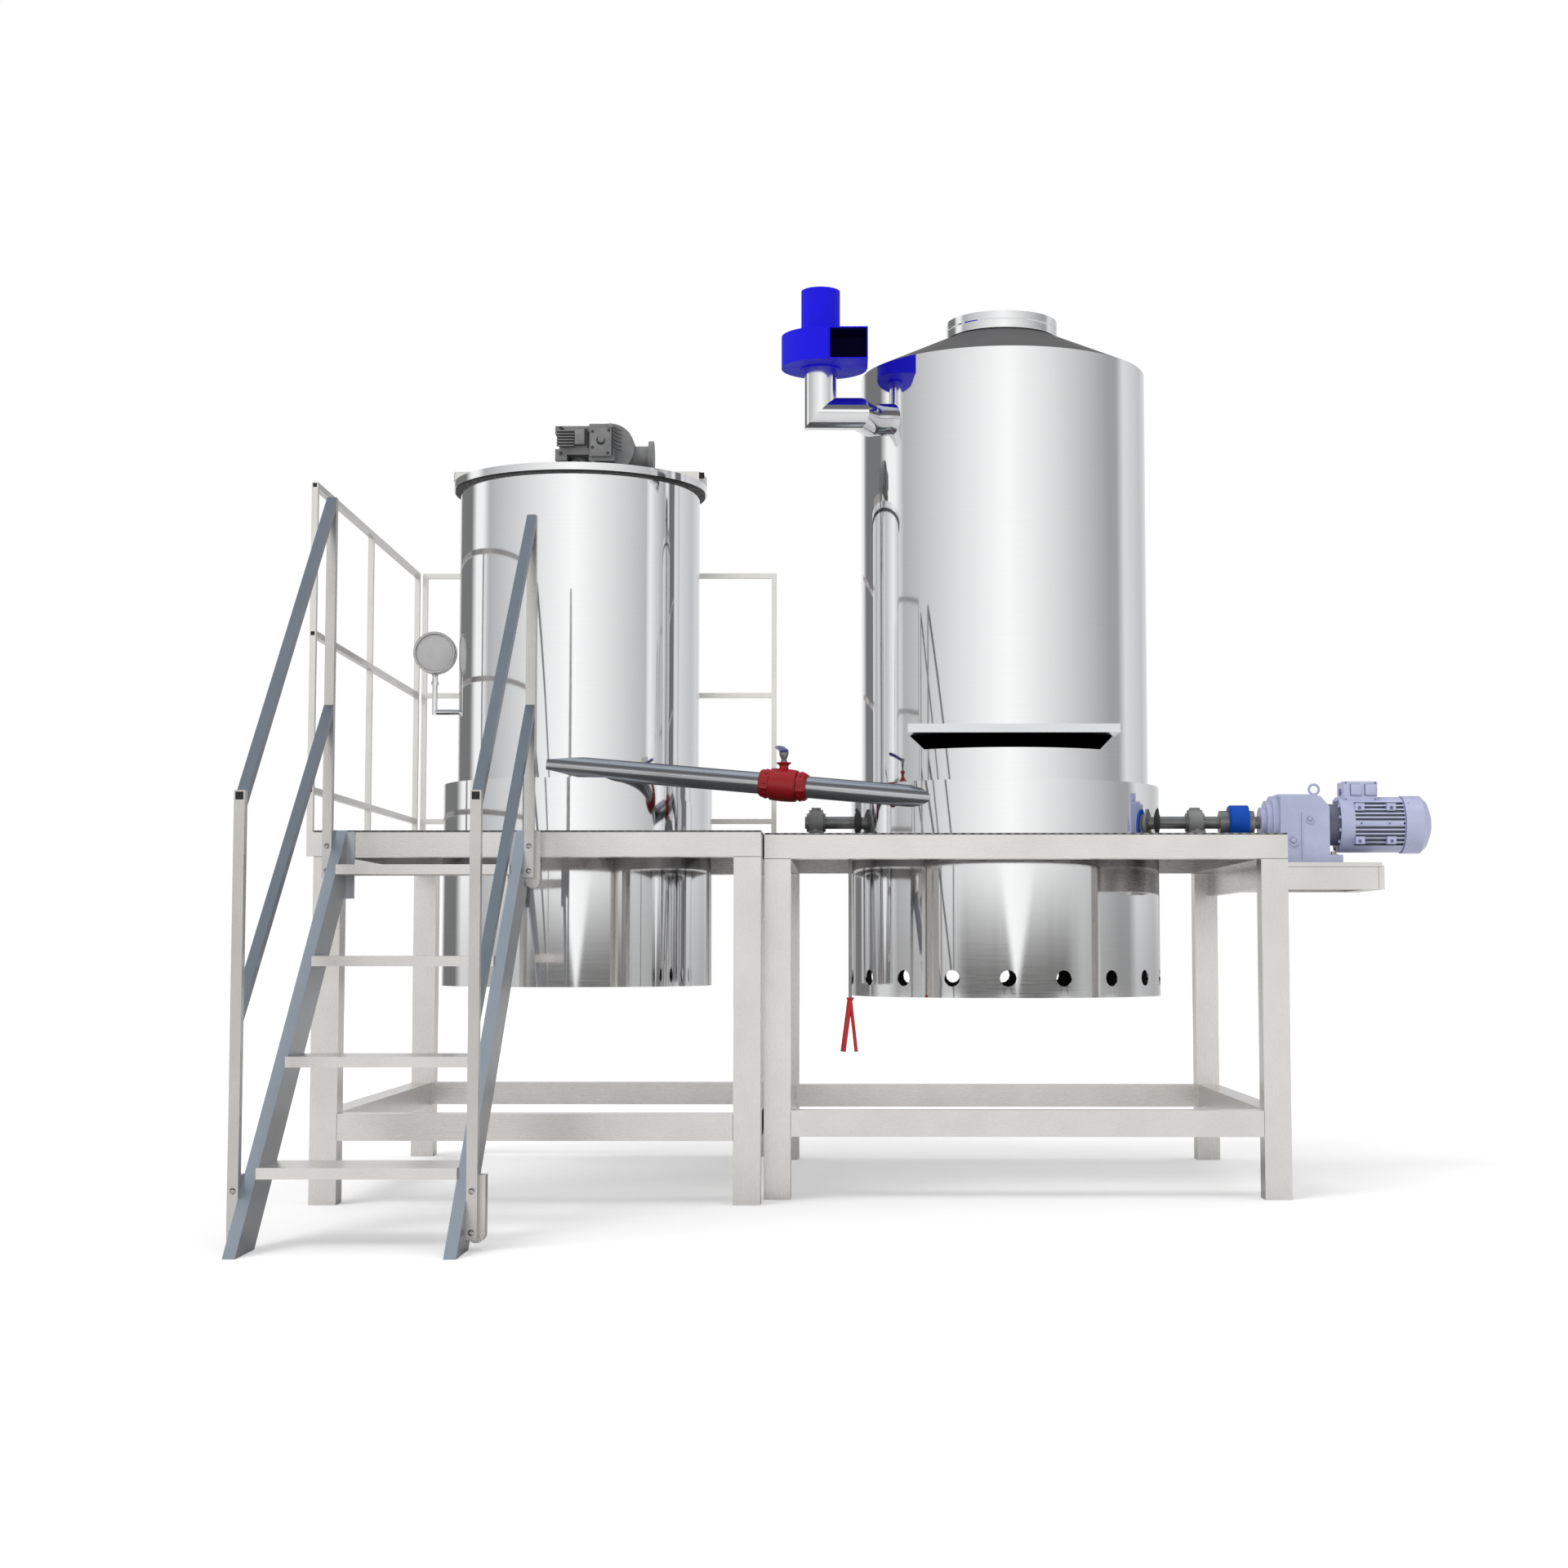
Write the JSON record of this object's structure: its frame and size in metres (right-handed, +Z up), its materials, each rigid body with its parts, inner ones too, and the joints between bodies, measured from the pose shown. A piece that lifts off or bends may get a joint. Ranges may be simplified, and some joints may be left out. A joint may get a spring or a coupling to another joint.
{
  "type": "halva cooking mixer",
  "caption": "Lidded cooking vessel and hooded mixing vessel on steel tables, with stairs, guard rail, transfer pipe, fan and geared shaft drive.",
  "frame": {"origin": "on the floor, at the middle of the whole machine's footprint", "axes": "+X to the right towards the gear motor, +Y away from the stairs, +Z up"},
  "size_m": [3.825, 3.208, 3.156],
  "materials": {
    "deck_steel": "ribbed anti-slip stainless plate",
    "satin_steel": "satin stainless tube and plate",
    "mirror_steel": "mirror-polished stainless sheet",
    "black_rubber": "black rubber",
    "grey_casting": "grey painted casting",
    "gauge_steel": "pale dial in a satin case",
    "fan_blue": "bright blue paint",
    "valve_red": "dark red enamel",
    "lever_blue": "dark blue dipped grip",
    "shaft_steel": "bare machined steel",
    "coupling_blue": "blue elastomer sleeve",
    "motor_paint": "pale lavender grey paint",
    "grip_red": "red dipped grip"
  },
  "bodies": {
    "machine": {"left_deck": "deck_steel", "right_deck": "deck_steel", "table_legs": "satin_steel", "table_beams": "satin_steel", "lower_rails": "satin_steel", "support_rings": "satin_steel", "cook_shell": "mirror_steel", "cook_floor": "mirror_steel", "cook_jacket": "mirror_steel", "lid_gasket": "black_rubber", "cook_lid": "mirror_steel", "lid_bridge": "mirror_steel", "lid_gear_unit": "grey_casting", "gauge_pipe": "mirror_steel", "gauge": "gauge_steel", "mix_skirt": "mirror_steel", "mix_pan": "mirror_steel", "mix_hood": "mirror_steel", "hood_visor": "mirror_steel", "hood_cone": "satin_steel", "hood_neck": "mirror_steel", "fan_scroll": "fan_blue", "fan_motor": "fan_blue", "fan_duct": "mirror_steel", "transfer_pipe": "mirror_steel", "valve_body": "valve_red", "pillow_blocks": "grey_casting", "shaft_seals": "shaft_steel", "gear_case": "motor_paint", "lifting_eye": "motor_paint", "motor_body": "motor_paint", "motor_fan_cover": "motor_paint", "terminal_box": "motor_paint", "motor_tray": "satin_steel", "motor_plate": "satin_steel", "tray_rail": "satin_steel", "stair_stringers": "satin_steel", "stair_treads": "satin_steel", "stair_posts": "satin_steel", "post_brackets": "satin_steel", "stair_handrails": "satin_steel", "guard_posts": "satin_steel", "guard_feet": "satin_steel", "guard_rails": "satin_steel", "pull_rod": "shaft_steel", "pull_grip": "grip_red"},
    "rotor": {"mixer_shaft": "shaft_steel", "coupling_hubs": "shaft_steel", "coupling_sleeve": "coupling_blue", "gear_output_shaft": "shaft_steel"},
    "lever": {"valve_lever": "lever_blue"}
  },
  "joints": [
    {"name": "shaft_turn", "type": "hinge", "parent": "machine", "child": "rotor", "pos_m": [0.4625, 0.531, 1.268], "axis": [1, 0, 0], "continuous": true},
    {"name": "valve_turn", "type": "hinge", "parent": "machine", "child": "lever", "pos_m": [-0.38389, 0.31449, 1.48], "axis": [0, 0, 1], "range_deg": [-90, 0]}
  ]
}
